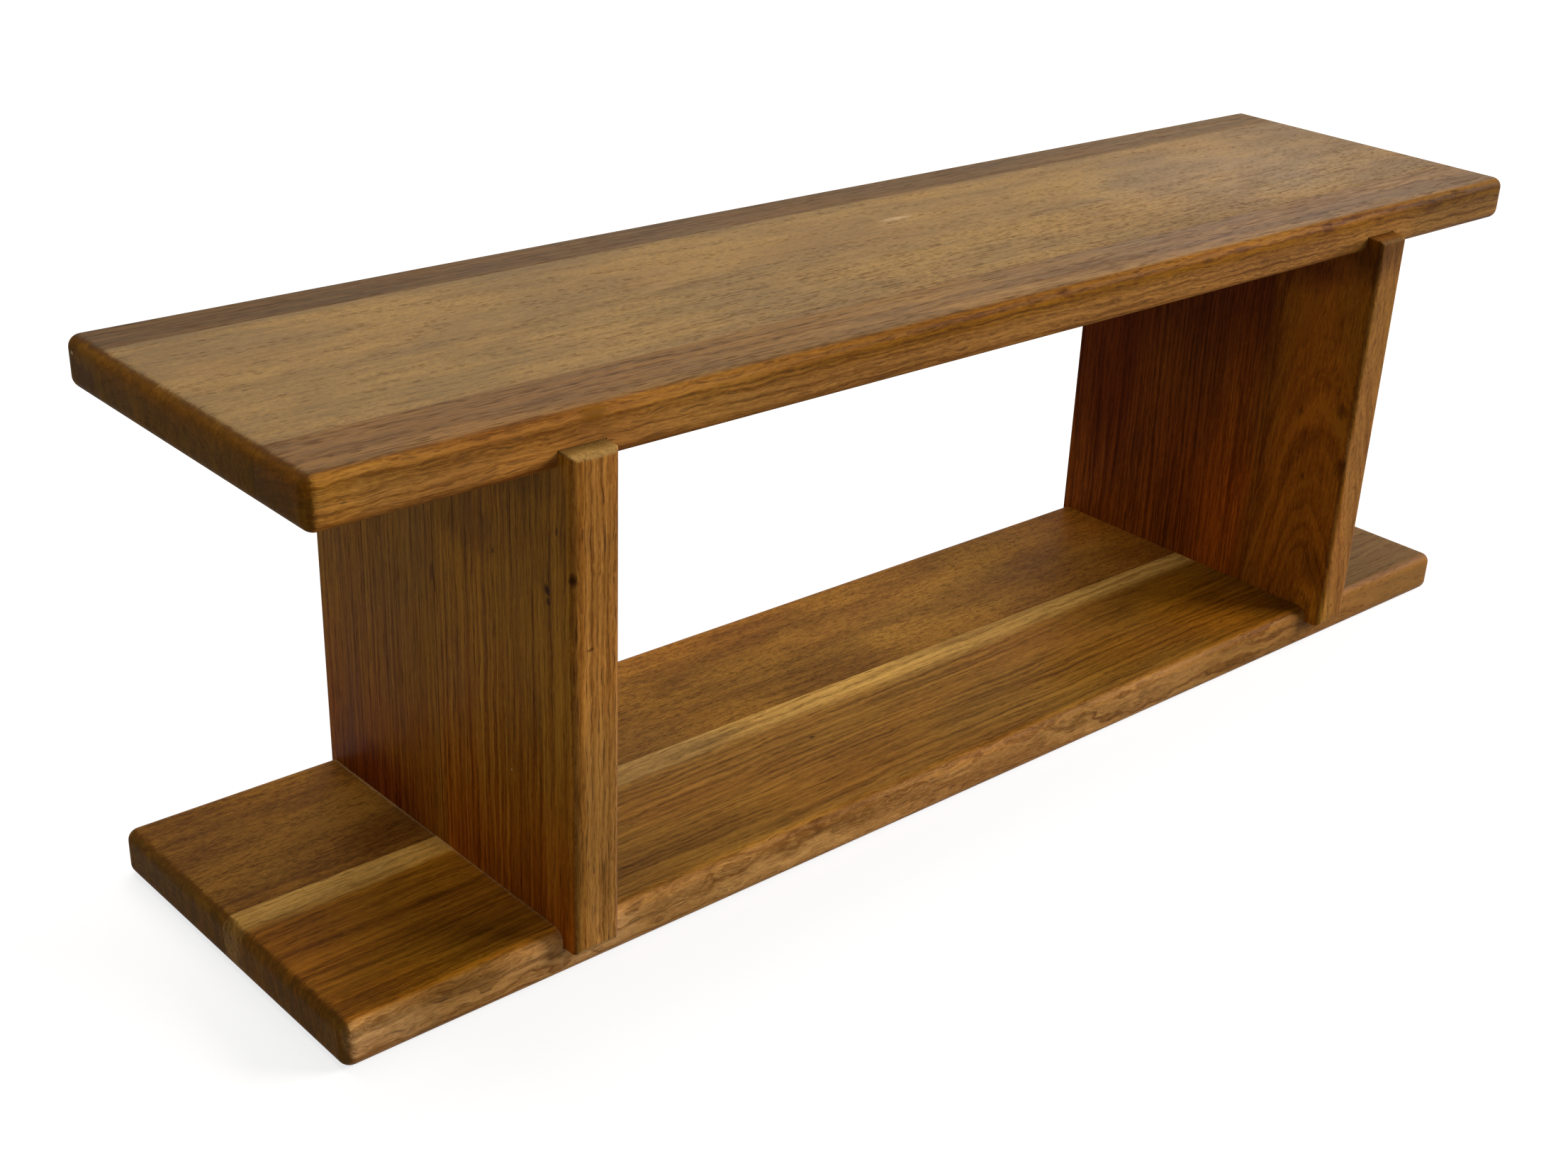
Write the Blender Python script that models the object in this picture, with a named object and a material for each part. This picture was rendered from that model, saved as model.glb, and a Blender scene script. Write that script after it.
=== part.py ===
"""Wall bookshelf in solid oak: two shelf boards joined by two upright panels.

Each board is glued up from staves. The panels stand in housings cut across both shelf boards, a little
proud of their front edges and flush with their rear edges. A steel keyhole plate, let into the rear edge
of each panel, hangs the shelf on two wall screws.

+X runs along the shelf, +Y towards the wall and +Z up. The origin is under the middle of the overall box.
"""

import math

import bmesh
import bpy
from mathutils import Vector

# Driving dimensions, in metres; the inset runs from a shelf's end to the middle of the panel's thickness
SHELF_LENGTH = 0.806
SHELF_DEPTH = 0.200
SHELF_THICKNESS = 0.0245
OVERALL_HEIGHT = 0.271
PANEL_THICKNESS = 0.0245
PANEL_INSET = 0.125
PANEL_PROUD = 0.010
HOUSING_DEPTH = 0.0095
SHELF_EDGE_RADIUS = 0.006
PANEL_EDGE_RADIUS = 0.0035
PANEL_BACK_ARRIS = 0.001

# The gap between two pieces that touch, such as the two sides of a glue line
FIT_GAP = 0.0003

# Widths of the staves that the boards are glued up from; one stave of each board takes what is left
TOP_REAR_STAVE_WIDTH = 0.030
TOP_FRONT_STAVE_WIDTH = 0.038
BOTTOM_REAR_STAVE_WIDTH = 0.097
LEFT_PANEL_REAR_STAVE_WIDTH = 0.104
RIGHT_PANEL_REAR_STAVE_WIDTH = 0.150

# Keyhole plate, and the pocket behind it for the head of the wall screw
PLATE_WIDTH = 0.016
PLATE_HEIGHT = 0.046
PLATE_THICKNESS = 0.002
PLATE_CORNER_RADIUS = 0.003
PLATE_BELOW_SHELF = 0.012
KEYHOLE_ENTRY_RADIUS = 0.005
KEYHOLE_SLOT_WIDTH = 0.0048
KEYHOLE_DROP = 0.006
KEYHOLE_LIFT = 0.006
POCKET_MARGIN = 0.0008
POCKET_DEPTH = 0.009

# Countersunk wood screw with a cross recess
SCREW_RADIUS = 0.0015
SCREW_HEAD_RADIUS = 0.0031
SCREW_HEAD_HEIGHT = 0.0016
SCREW_LENGTH = 0.015
SCREW_TIP_LENGTH = 0.003
SCREW_TIP_RADIUS = 0.0003
SCREW_INSET = 0.006
CROSS_LENGTH = 0.0032
CROSS_WIDTH = 0.0007
CROSS_DEPTH = 0.0008

# How far a cutter runs past the face that it cuts
OVERRUN = 0.002

EDGE_SEGMENTS = 6
ROUND_SIDES = 24
QUARTER_TURN = math.pi / 2
DRIVEN_INTO_BACK = (-QUARTER_TURN, 0.0, 0.0)

# Sizes that follow from the ones above
BACK_Y = (SHELF_DEPTH + PANEL_PROUD) / 2
FRONT_Y = -BACK_Y
SHELF_FRONT_Y = FRONT_Y + PANEL_PROUD
TOP_UNDERSIDE_Z = OVERALL_HEIGHT - SHELF_THICKNESS
PANEL_BOTTOM_Z = SHELF_THICKNESS - HOUSING_DEPTH + FIT_GAP
PANEL_TOP_Z = TOP_UNDERSIDE_Z + HOUSING_DEPTH - FIT_GAP
PANEL_X = SHELF_LENGTH / 2 - PANEL_INSET
PANEL_PLACES = {"left": -PANEL_X, "right": PANEL_X}
PLATE_MIDDLE_Z = TOP_UNDERSIDE_Z - PLATE_BELOW_SHELF - PLATE_HEIGHT / 2
SCREW_REACH = PLATE_HEIGHT / 2 - SCREW_INSET
SCREW_PLACES = {"upper": PLATE_MIDDLE_Z + SCREW_REACH, "lower": PLATE_MIDDLE_Z - SCREW_REACH}

# Finishes: base colour, roughness, metallic
OAK_BROWN = ((0.150, 0.076, 0.034), 0.42, 0.0)
OAK_PALE = ((0.260, 0.155, 0.075), 0.45, 0.0)
OAK_WARM = ((0.235, 0.105, 0.036), 0.40, 0.0)
OAK_OLIVE = ((0.120, 0.062, 0.022), 0.42, 0.0)
PLATE_STEEL = ((0.56, 0.54, 0.50), 0.35, 1.0)
SCREW_STEEL = ((0.62, 0.55, 0.38), 0.30, 1.0)


def clear_scene():
    for obj in list(bpy.data.objects):
        bpy.data.objects.remove(obj, do_unlink=True)


def finish(name, look):
    """A Principled material of its own for one piece."""
    colour, roughness, metallic = look
    material = bpy.data.materials.new(name + "_finish")
    material.use_nodes = True
    shader = material.node_tree.nodes["Principled BSDF"]
    shader.inputs["Base Color"].default_value = (*colour, 1.0)
    shader.inputs["Roughness"].default_value = roughness
    shader.inputs["Metallic"].default_value = metallic
    return material


def place(mesh, location, parent, look=None, rotation=(0.0, 0.0, 0.0)):
    """An object of the mesh's name, seen in its finish or, without one, hidden as a cutter."""
    obj = bpy.data.objects.new(mesh.name, mesh)
    bpy.context.scene.collection.objects.link(obj)
    obj.parent = parent
    obj.location = location
    obj.rotation_euler = rotation
    if look is None:
        obj.hide_render = True
        obj.display_type = "WIRE"
    else:
        mesh.materials.append(finish(mesh.name, look))
    return obj


def to_mesh(name, shape):
    bmesh.ops.recalc_face_normals(shape, faces=shape.faces)
    mesh = bpy.data.meshes.new(name)
    shape.to_mesh(mesh)
    shape.free()
    return mesh


def block(low, high):
    """A box between two corners."""
    low, high = Vector(low), Vector(high)
    shape = bmesh.new()
    bmesh.ops.create_cube(shape, size=1.0)
    for vertex in shape.verts:
        for axis in range(3):
            vertex.co[axis] = high[axis] if vertex.co[axis] > 0 else low[axis]
    return shape


def round_edges(shape, edges, radius):
    bmesh.ops.bevel(shape, geom=edges, offset=radius, segments=EDGE_SEGMENTS, profile=0.5, affect="EDGES")


def cut(obj, cutter, operation="DIFFERENCE"):
    modifier = obj.modifiers.new(cutter.name, "BOOLEAN")
    modifier.operation = operation
    modifier.object = cutter
    modifier.solver = "EXACT"


def box_cutter(name, low, high, parent):
    """A box between two corners given in the frame of the whole shelf."""
    return place(to_mesh(name, block(low, high)), (0.0, 0.0, 0.0), parent)


def arc(middle, radius, start, end, steps):
    """Points of an arc in X and Z, both ends included."""
    angles = [start + (end - start) * step / steps for step in range(steps + 1)]
    return [(middle[0] + radius * math.cos(angle), middle[1] + radius * math.sin(angle)) for angle in angles]


def extruded(name, outline, thickness):
    """An outline of X and Z points, extruded along Y from 0 to the thickness."""
    shape = bmesh.new()
    face = shape.faces.new([shape.verts.new((x, 0.0, z)) for x, z in outline])
    made = bmesh.ops.extrude_face_region(shape, geom=[face])["geom"]
    far = [item for item in made if isinstance(item, bmesh.types.BMVert)]
    bmesh.ops.translate(shape, verts=far, vec=(0.0, thickness, 0.0))
    return to_mesh(name, shape)


def turned(name, profile):
    """A body turned about Z from (radius, height) points, with flat ends."""
    shape = bmesh.new()
    turns = [2 * math.pi * side / ROUND_SIDES for side in range(ROUND_SIDES)]
    rings = [
        [shape.verts.new((radius * math.cos(turn), radius * math.sin(turn), height)) for turn in turns]
        for radius, height in profile
    ]
    for lower, upper in zip(rings, rings[1:]):
        for side in range(ROUND_SIDES):
            after = (side + 1) % ROUND_SIDES
            shape.faces.new((lower[side], lower[after], upper[after], upper[side]))
    shape.faces.new(rings[0])
    shape.faces.new(rings[-1])
    mesh = to_mesh(name, shape)
    mesh.shade_smooth()
    mesh.set_sharp_from_angle(angle=math.radians(35.0))
    return mesh


def shelf_board(name, bottom_z, glue_lines, looks, housings, root):
    """A board rounded on all its edges, parted at its glue lines and grooved for the panels.

    glue_lines holds the Y of each, front to rear; looks holds the finish of each stave in the same order.
    """
    half = SHELF_LENGTH / 2
    radius = min(SHELF_EDGE_RADIUS, SHELF_THICKNESS / 2 - FIT_GAP)
    ends = [SHELF_FRONT_Y - OVERRUN, *glue_lines, BACK_Y + OVERRUN]
    for index, (stave, look) in enumerate(looks.items()):
        stave_name = f"{name}_{stave}_stave"
        shape = block((-half, -SHELF_DEPTH / 2, 0.0), (half, SHELF_DEPTH / 2, SHELF_THICKNESS))
        round_edges(shape, list(shape.edges), radius)
        middle = (0.0, (SHELF_FRONT_Y + BACK_Y) / 2, bottom_z)
        piece = place(to_mesh(stave_name, shape), middle, root, look)
        low = (-half - OVERRUN, ends[index] + FIT_GAP / 2, bottom_z - OVERRUN)
        high = (half + OVERRUN, ends[index + 1] - FIT_GAP / 2, bottom_z + SHELF_THICKNESS + OVERRUN)
        cut(piece, box_cutter(stave_name + "_region", low, high, root), "INTERSECT")
        for housing in housings:
            cut(piece, housing)


def housing_cutters(shelf, low_z, high_z, root):
    """The groove for each panel, right across a shelf board."""
    half = PANEL_THICKNESS / 2 + FIT_GAP
    cutters = []
    for side, x in PANEL_PLACES.items():
        low = (x - half, SHELF_FRONT_Y - OVERRUN, low_z)
        high = (x + half, BACK_Y + OVERRUN, high_z)
        cutters.append(box_cutter(f"{shelf}_{side}_housing", low, high, root))
    return cutters


def panel_blank(name):
    """A whole panel, its front face rounded on all four edges, with a small arris down each rear edge."""
    half = PANEL_THICKNESS / 2
    shape = block((-half, FRONT_Y, 0.0), (half, BACK_Y, PANEL_TOP_Z - PANEL_BOTTOM_Z))
    front = [edge for edge in shape.edges if all(vertex.co.y < 0 for vertex in edge.verts)]
    rear = []
    for edge in shape.edges:
        start, end = (vertex.co for vertex in edge.verts)
        if start.y > 0 and end.y > 0 and start.x == end.x:
            rear.append(edge)
    limit = half - FIT_GAP
    round_edges(shape, front, min(PANEL_EDGE_RADIUS, limit))
    round_edges(shape, rear, min(PANEL_BACK_ARRIS, limit))
    return to_mesh(name, shape)


def panel(side, x, rear_width, looks, hanger_cuts, root):
    """One upright in two staves. The rear stave takes the cuts for the keyhole plate."""
    glue_line = BACK_Y - rear_width
    half = PANEL_THICKNESS / 2 + OVERRUN
    spans = {
        "front": (FRONT_Y - OVERRUN, glue_line - FIT_GAP / 2),
        "rear": (glue_line + FIT_GAP / 2, BACK_Y + OVERRUN),
    }
    for stave, (near, far) in spans.items():
        name = f"{side}_panel_{stave}_stave"
        piece = place(panel_blank(name), (x, 0.0, PANEL_BOTTOM_Z), root, looks[stave])
        low = (x - half, near, PANEL_BOTTOM_Z - OVERRUN)
        high = (x + half, far, PANEL_TOP_Z + OVERRUN)
        cut(piece, box_cutter(name + "_region", low, high, root), "INTERSECT")
        if stave == "rear":
            for cutter in hanger_cuts:
                cut(piece, cutter)


def plate_outline(clearance):
    """The outline of the plate, wider all round by the clearance, about its middle."""
    radius = PLATE_CORNER_RADIUS + clearance
    across = PLATE_WIDTH / 2 + clearance - radius
    up = PLATE_HEIGHT / 2 + clearance - radius
    points = []
    for quarter, (way_x, way_z) in enumerate(((1, 1), (-1, 1), (-1, -1), (1, -1))):
        start = quarter * QUARTER_TURN
        points += arc((way_x * across, way_z * up), radius, start, start + QUARTER_TURN, EDGE_SEGMENTS)
    return points


def keyhole_outline():
    """The round entry with the hanging slot above it, about the plate's middle."""
    half = KEYHOLE_SLOT_WIDTH / 2
    meet = math.asin(half / KEYHOLE_ENTRY_RADIUS)
    left, right = QUARTER_TURN + meet, QUARTER_TURN - meet + 2 * math.pi
    entry = arc((0.0, -KEYHOLE_DROP), KEYHOLE_ENTRY_RADIUS, left, right, ROUND_SIDES)
    return entry + arc((0.0, KEYHOLE_LIFT), half, 0.0, math.pi, ROUND_SIDES // 2)


def recess_cutters(side, x, root):
    """What the rear edge of a panel loses: the plate's recess and the pocket behind the keyhole."""
    floor_y = BACK_Y - PLATE_THICKNESS - FIT_GAP
    recess = extruded(f"{side}_plate_recess", plate_outline(FIT_GAP), BACK_Y + OVERRUN - floor_y)
    half = KEYHOLE_ENTRY_RADIUS + POCKET_MARGIN
    lowest = PLATE_MIDDLE_Z - KEYHOLE_DROP - half
    highest = PLATE_MIDDLE_Z + KEYHOLE_LIFT + KEYHOLE_SLOT_WIDTH / 2 + POCKET_MARGIN
    low = (x - half, floor_y - POCKET_DEPTH, lowest)
    high = (x + half, BACK_Y - PLATE_THICKNESS, highest)
    return [
        place(recess, (x, floor_y, PLATE_MIDDLE_Z), root),
        box_cutter(f"{side}_screw_head_pocket", low, high, root),
    ]


def screw_clearances(side, x, root):
    """The room for each screw: its own outline with the fit gap all round, open at its head."""
    bore, head = SCREW_RADIUS + FIT_GAP, SCREW_HEAD_RADIUS + FIT_GAP
    profile = [(bore, -SCREW_LENGTH - FIT_GAP), (bore, -SCREW_HEAD_HEIGHT), (head, 0.0), (head, OVERRUN)]
    cutters = []
    for level, z in SCREW_PLACES.items():
        room = turned(f"{side}_{level}_clearance", profile)
        cutters.append(place(room, (x, BACK_Y, z), root, rotation=DRIVEN_INTO_BACK))
    return cutters


def hanger_plate(side, x, clearances, root):
    """The keyhole plate, its outer face flush with the panel's rear edge."""
    blank = extruded(f"{side}_hanger_plate", plate_outline(0.0), PLATE_THICKNESS)
    plate = place(blank, (x, BACK_Y - PLATE_THICKNESS, PLATE_MIDDLE_Z), root, PLATE_STEEL)
    keyhole = extruded(f"{side}_keyhole", keyhole_outline(), PLATE_THICKNESS + 2 * OVERRUN)
    cut(plate, place(keyhole, (x, BACK_Y - PLATE_THICKNESS - OVERRUN, PLATE_MIDDLE_Z), root))
    for clearance in clearances:
        cut(plate, clearance)


def hanger_screw(side, level, x, z, root):
    """A countersunk wood screw, its head flush with the plate, with a cross recess."""
    name = f"{side}_hanger_screw_{level}"
    profile = [
        (SCREW_TIP_RADIUS, -SCREW_LENGTH),
        (SCREW_RADIUS, -SCREW_LENGTH + SCREW_TIP_LENGTH),
        (SCREW_RADIUS, -SCREW_HEAD_HEIGHT),
        (SCREW_HEAD_RADIUS, 0.0),
    ]
    spot = (x, BACK_Y, z)
    screw = place(turned(name, profile), spot, root, SCREW_STEEL, DRIVEN_INTO_BACK)
    long, narrow = CROSS_LENGTH / 2, CROSS_WIDTH / 2
    for arm, (reach_x, reach_y) in {"across": (long, narrow), "upright": (narrow, long)}.items():
        shape = block((-reach_x, -reach_y, -CROSS_DEPTH), (reach_x, reach_y, OVERRUN))
        cut(screw, place(to_mesh(f"{name}_{arm}", shape), spot, root, rotation=DRIVEN_INTO_BACK))


def build():
    clear_scene()
    root = bpy.data.objects.new("bookshelf", None)
    bpy.context.scene.collection.objects.link(root)

    housing_roof_z = TOP_UNDERSIDE_Z + HOUSING_DEPTH
    top_housings = housing_cutters("top_shelf", TOP_UNDERSIDE_Z - OVERRUN, housing_roof_z, root)
    top_lines = (SHELF_FRONT_Y + TOP_FRONT_STAVE_WIDTH, BACK_Y - TOP_REAR_STAVE_WIDTH)
    top_looks = {"front": OAK_WARM, "middle": OAK_PALE, "rear": OAK_BROWN}
    shelf_board("top_shelf", TOP_UNDERSIDE_Z, top_lines, top_looks, top_housings, root)

    housing_floor_z = SHELF_THICKNESS - HOUSING_DEPTH
    bottom_housings = housing_cutters("bottom_shelf", housing_floor_z, SHELF_THICKNESS + OVERRUN, root)
    bottom_lines = (BACK_Y - BOTTOM_REAR_STAVE_WIDTH,)
    bottom_looks = {"front": OAK_WARM, "rear": OAK_BROWN}
    shelf_board("bottom_shelf", 0.0, bottom_lines, bottom_looks, bottom_housings, root)

    rear_widths = {"left": LEFT_PANEL_REAR_STAVE_WIDTH, "right": RIGHT_PANEL_REAR_STAVE_WIDTH}
    panel_looks = {"front": OAK_WARM, "rear": OAK_OLIVE}
    for side, x in PANEL_PLACES.items():
        clearances = screw_clearances(side, x, root)
        hanger_cuts = recess_cutters(side, x, root) + clearances
        panel(side, x, rear_widths[side], panel_looks, hanger_cuts, root)
        hanger_plate(side, x, clearances, root)
        for level, z in SCREW_PLACES.items():
            hanger_screw(side, level, x, z, root)


build()
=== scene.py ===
import math

import bmesh
import bpy
import numpy as np
from bpy.props import FloatProperty, FloatVectorProperty, IntProperty, PointerProperty
from bpy.types import Operator, Panel, PropertyGroup
from mathutils import Matrix, Vector


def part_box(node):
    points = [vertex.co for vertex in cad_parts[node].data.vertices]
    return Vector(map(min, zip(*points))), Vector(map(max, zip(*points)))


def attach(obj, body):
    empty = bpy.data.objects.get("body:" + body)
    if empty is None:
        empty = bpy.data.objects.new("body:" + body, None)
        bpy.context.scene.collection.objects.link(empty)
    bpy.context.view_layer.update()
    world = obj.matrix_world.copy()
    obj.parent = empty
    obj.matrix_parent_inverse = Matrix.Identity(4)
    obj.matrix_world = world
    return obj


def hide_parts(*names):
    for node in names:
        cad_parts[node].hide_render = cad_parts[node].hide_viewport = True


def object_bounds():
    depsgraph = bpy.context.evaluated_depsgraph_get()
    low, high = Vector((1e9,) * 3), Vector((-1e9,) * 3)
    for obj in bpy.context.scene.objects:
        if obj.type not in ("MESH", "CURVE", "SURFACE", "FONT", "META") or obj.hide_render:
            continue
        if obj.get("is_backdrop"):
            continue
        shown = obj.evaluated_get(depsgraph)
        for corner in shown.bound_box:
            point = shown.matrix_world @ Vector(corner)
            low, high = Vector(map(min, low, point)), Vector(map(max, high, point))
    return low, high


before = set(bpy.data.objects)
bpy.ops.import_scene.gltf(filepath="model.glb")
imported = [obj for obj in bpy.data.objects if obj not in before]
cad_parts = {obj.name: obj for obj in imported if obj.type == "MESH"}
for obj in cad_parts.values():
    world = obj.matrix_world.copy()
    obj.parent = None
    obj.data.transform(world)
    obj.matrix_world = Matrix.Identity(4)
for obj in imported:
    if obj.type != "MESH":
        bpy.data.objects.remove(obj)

bl_info = {
    "name": "Oak wall bookshelf",
    "version": (1, 0, 0),
    "blender": (4, 5, 0),
    "location": "3D View > Sidebar > Shelf",
    "description": "Dresses a wall bookshelf of glued oak boards: staves, housed panels, hanging plates and stage",
    "category": "Object",
}

SHELVES = {
    "top": ("top_shelf_front_stave", "top_shelf_middle_stave", "top_shelf_rear_stave"),
    "bottom": ("bottom_shelf_front_stave", "bottom_shelf_rear_stave"),
}
SIDES = ("left", "right")
MILLIMETRES = 1000.0

# Lengths of the meshes in metres, and angles in degrees
ROW_BY_CORNER = 0.0005
CAP_INSET = 0.0006
HOUSING_FLOOR_GAP = 0.0003
PANEL_GLUE_GAP = 0.0001
SHARP_ANGLE = 40.0
FLAT_ANGLE = 2.0
PLATE_BEVEL_ANGLE = 35.0
SCREW_SIDES = 96
SCREW_TIP = 0.0035
SCREW_SHANK_RADIUS = 0.0015
SCREW_HEAD_HEIGHT = 0.0016
SCREW_NECK = 0.0015
CROSS_ARM = 0.0017
CROSS_ARM_EDGE = 0.0003
CROSS_BAR = 0.00042
CROSS_BAR_EDGE = 0.00012
SCREW_TURNS = {"left_upper": 0.35, "left_lower": 1.1, "right_upper": 0.8, "right_lower": 0.2}
FLOOR_SIDE = 30.0
FLOOR_DROP = 0.0002

# The film's width in millimetres, and colours of the stage
FILM_WIDTH = 36.0
LAMP_COLOUR = (1.0, 0.97, 0.93)
WHITE = (1.0, 1.0, 1.0)


def number_setting(name, description, default, **limits):
    return FloatProperty(name=name, description=description, default=default, **limits)


def length_setting(name, description, default, low, high, precision=4):
    return number_setting(name, description, default, min=low, max=high, unit="LENGTH", precision=precision)


def colour_setting(name, description, default):
    return FloatVectorProperty(name=name, description=description, default=default, subtype="COLOR", size=3,
                               min=0.0, max=1.0)


class ShelfSizes(PropertyGroup):
    """Sizes of the timber pieces that the drawing leaves to the finish"""

    edge_radius: length_setting("Shelf edge radius", "Rounding of all edges of both boards", 0.006, 0.001, 0.012)
    panel_radius: length_setting(
        "Panel edge radius", "Rounding round the front face of each upright", 0.0035, 0.0005, 0.01)
    panel_corner: length_setting(
        "Panel corner radius", "Rounding of the long corners of the uprights' ends", 0.0009, 0.0001, 0.003)
    glue_line: length_setting(
        "Glue line", "Width of the line left between two staves", 0.00004, 0.00001, 0.0003, precision=5)
    housing_gap: length_setting(
        "Housing gap", "Play between an upright and the sides of its housing", 0.0001, 0.00005, 0.0003, precision=5)
    waviness: length_setting(
        "Waviness", "How far hand planing and sanding leave the faces out of flat", 0.00006, 0.0, 0.0005,
        precision=5)
    spacing: length_setting("Spacing", "Distance between the rows of points along a board", 0.005, 0.002, 0.05)
    arc_steps: IntProperty(
        name="Rounding steps", description="Steps in the quarter turn of a rounded edge", default=8, min=3, max=24)


class ShelfColours(PropertyGroup):
    """Colours of the timber, of its pores and of the hanging plates"""

    top_front: colour_setting("Top, front strip", "Oak of the top board's front strip", (0.138, 0.056, 0.0092))
    top_middle: colour_setting("Top, middle", "Oak of the top board's wide middle stave", (0.176, 0.083, 0.016))
    top_rear: colour_setting("Top, rear strip", "Oak of the top board's rear strip", (0.072, 0.028, 0.006))
    bottom_front: colour_setting(
        "Bottom, front", "Streaky oak of the lower board's front stave", (0.275, 0.121, 0.018))
    bottom_rear: colour_setting("Bottom, rear", "Mottled oak of the lower board's rear stave", (0.216, 0.090, 0.012))
    sapwood: colour_setting("Sapwood", "Pale edge of the lower board's front stave", (0.500, 0.280, 0.065))
    # The uprights' colours are raised as painted light for their faces in shade; a painted shade darkens their faces
    # towards the lamps
    left_front: colour_setting(
        "Left panel, front", "Golden olive oak of the left upright's front stave", (0.370, 0.155, 0.015))
    left_rear: colour_setting(
        "Left panel, rear", "Olive brown oak of the left upright's rear stave", (0.290, 0.122, 0.012))
    right_front: colour_setting(
        "Right panel, front", "Brown oak of the right upright's front stave", (0.290, 0.096, 0.007))
    right_rear: colour_setting(
        "Right panel, rear", "Reddish brown oak of the right upright's rear stave", (0.180, 0.046, 0.005))
    pores: colour_setting("Pores", "Open pores of the oak, darkened by the oil", (0.055, 0.024, 0.007))
    plate: colour_setting("Plate", "Bright zinc of the hanging plates", (0.60, 0.59, 0.56))
    screw: colour_setting("Screws", "Yellow zinc of the wood screws", (0.66, 0.56, 0.36))


class ShelfHangerSizes(PropertyGroup):
    """Sizes of the hanging plates' edges and of the screws' threads"""

    plate_edge: length_setting(
        "Plate edge", "Rounding of the stamped plate's edges", 0.0002, 0.00005, 0.0006, precision=5)
    thread_pitch: length_setting(
        "Thread pitch", "Distance from one turn of the thread to the next", 0.0012, 0.0005, 0.003)
    thread_depth: length_setting(
        "Thread depth", "Height of the thread over the screw's core", 0.00035, 0.0001, 0.0008, precision=5)
    recess_depth: length_setting(
        "Recess depth", "Depth of the cross recess in the screw's head", 0.0008, 0.0003, 0.0012)


class ShelfStageSizes(PropertyGroup):
    """Camera, lamps and floor"""

    azimuth: number_setting(
        "Azimuth", "The camera's turn round the shelf, left of straight ahead", -0.764405, subtype="ANGLE")
    elevation: number_setting("Elevation", "The camera's height over the horizon", 0.475336, subtype="ANGLE")
    roll: number_setting("Roll", "The camera's tilt to one side", 0.054532, subtype="ANGLE")
    distance: number_setting("Distance", "From the camera to the point that it looks at", 1.1652, unit="LENGTH")
    target: FloatVectorProperty(
        name="Target", description="The point that the camera looks at",
        subtype="XYZ", size=3, default=(-0.035687, 0.005, 0.039891))
    lens: number_setting("Lens", "Focal length in millimetres on a 36 mm frame", 48.61)
    shift_x: number_setting("Shift X", "The frame's shift sideways", -0.03138)
    shift_y: number_setting("Shift Y", "The frame's shift upwards", 0.04766)
    world_light: number_setting("Room light", "Strength of the even light of the room", 0.26)
    top_light: number_setting(
        "Top light", "Power of the large soft lamp over the back of the shelf", 35.0, unit="POWER")
    front_light: number_setting("Front light", "Power of the soft lamp in front and to the right", 125.0, unit="POWER")
    floor_colour: colour_setting("Floor", "Colour of the plain floor", (0.32, 0.32, 0.32))


# Meshes


def side_fractions(length, spacing):
    """Places along one side of a section, from 0 to 1, with one more close to either end."""
    inner = np.linspace(0.0, 1.0, max(2, int(math.ceil(length / spacing)) + 1))
    near = min(ROW_BY_CORNER / length, 0.2)
    return np.unique(np.concatenate((inner, (near, 1.0 - near))))


def section_ring(width, height, free, spacing, arc_steps):
    """One turn round a section, as fractions of its two sides and the way out from each point.

    A free side is followed by a quarter turn of directions at each corner. A glued side has no way out,
    so it stays flat where the section is drawn in.
    """
    across, up = side_fractions(width, spacing), side_fractions(height, spacing)
    turn = np.linspace(0.0, np.pi / 2, arc_steps + 1)[1:-1]
    free_low, free_high = free
    pieces = []

    def side(fraction_u, fraction_v, out_u, out_v):
        count = max(np.size(fraction_u), np.size(fraction_v), np.size(out_u), np.size(out_v))
        columns = (fraction_u, fraction_v, out_u, out_v)
        pieces.append(np.stack([np.broadcast_to(column, count) for column in columns], 1))

    side(across, 0.0, 0.0, -1.0)
    if free_high:
        side(1.0, 0.0, np.sin(turn), -np.cos(turn))
    side(1.0, up, 1.0 if free_high else 0.0, 0.0)
    if free_high:
        side(1.0, 1.0, np.cos(turn), np.sin(turn))
    side(across[::-1], 1.0, 0.0, 1.0)
    if free_low:
        side(0.0, 1.0, -np.sin(turn), np.cos(turn))
    side(0.0, up[::-1], -1.0 if free_low else 0.0, 0.0)
    if free_low:
        side(0.0, 0.0, -np.cos(turn), -np.sin(turn))
    return np.concatenate(pieces)


def stations(span, radius, rounded, housings, spacing, arc_steps):
    """Rows along a piece: place, how far the section is drawn in, and the lowest and highest it may reach.

    At a rounded end the place runs as one minus the cosine of a quarter turn and the drawing in as one minus
    its sine. Each housing is a stretch of rows with a limit of its own, and its two borders are rows twice over.
    """
    turn = np.linspace(0.0, np.pi / 2, arc_steps + 1)
    start, stop = span[0] + radius * rounded[0], span[1] - radius * rounded[1]
    free = (-np.inf, np.inf)
    rows = []

    def stretch(places, drawn_in, limits):
        places = np.atleast_1d(places)
        rows.append(np.stack([places, np.broadcast_to(drawn_in, places.shape), np.full(places.shape, limits[0]),
                              np.full(places.shape, limits[1])], 1))

    if rounded[0]:
        stretch(span[0], radius + CAP_INSET, free)
        stretch(span[0] + radius * (1 - np.cos(turn)), radius * (1 - np.sin(turn)), free)
    borders = [start] + [edge for housing in housings for edge in housing[0]] + [stop]
    for index, (low, high) in enumerate(zip(borders, borders[1:])):
        limits = housings[index // 2][1] if index % 2 else free
        stretch(np.linspace(low, high, max(2, int(math.ceil((high - low) / spacing)) + 1)), 0.0, limits)
    if rounded[1]:
        stretch((span[1] - radius * (1 - np.cos(turn)))[::-1], (radius * (1 - np.sin(turn)))[::-1], free)
        stretch(span[1], radius + CAP_INSET, free)
    return np.concatenate(rows)


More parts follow.
